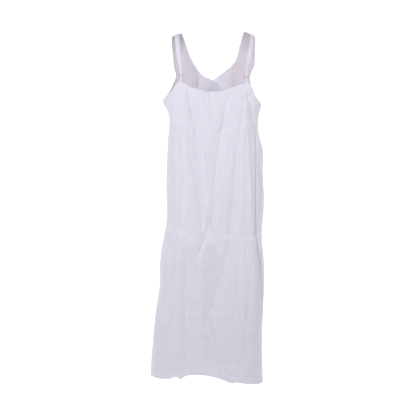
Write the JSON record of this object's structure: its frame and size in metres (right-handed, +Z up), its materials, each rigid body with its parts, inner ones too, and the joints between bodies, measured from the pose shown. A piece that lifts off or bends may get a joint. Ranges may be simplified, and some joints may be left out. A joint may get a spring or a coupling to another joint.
{
  "type": "maxi dress",
  "caption": "Sleeveless ankle-length dress in thin cloth: crossing front with wide shoulder straps, narrow ringed back straps, gathered tiers, open hem.",
  "frame": {"origin": "midway between the tops of the two shoulder straps, where the wearer's shoulders hold the dress", "axes": "+Z up along the dress, -Y out of its back, +Y out of its front, +X to the right as seen from behind"},
  "size_m": [0.4431, 0.2621, 1.3559],
  "materials": {
    "cotton": "thin plain-woven cotton, soft and matt",
    "facing": "plain-woven cotton, matt",
    "ring": "nickel-plated wire"
  },
  "bodies": {
    "root": {"back_bodice": "cotton", "back_skirt_upper": "cotton", "back_skirt_lower_left": "cotton", "back_skirt_lower_right": "cotton", "front_bodice_left": "cotton", "front_bodice_right": "cotton", "front_skirt_upper": "cotton", "front_skirt_lower": "cotton", "strap_facing_left": "facing", "strap_facing_right": "facing", "back_strap_left": "cotton", "back_strap_right": "cotton", "strap_loop_left": "cotton", "strap_loop_right": "cotton", "strap_ring_left": "ring", "strap_ring_right": "ring"}
  },
  "joints": []
}
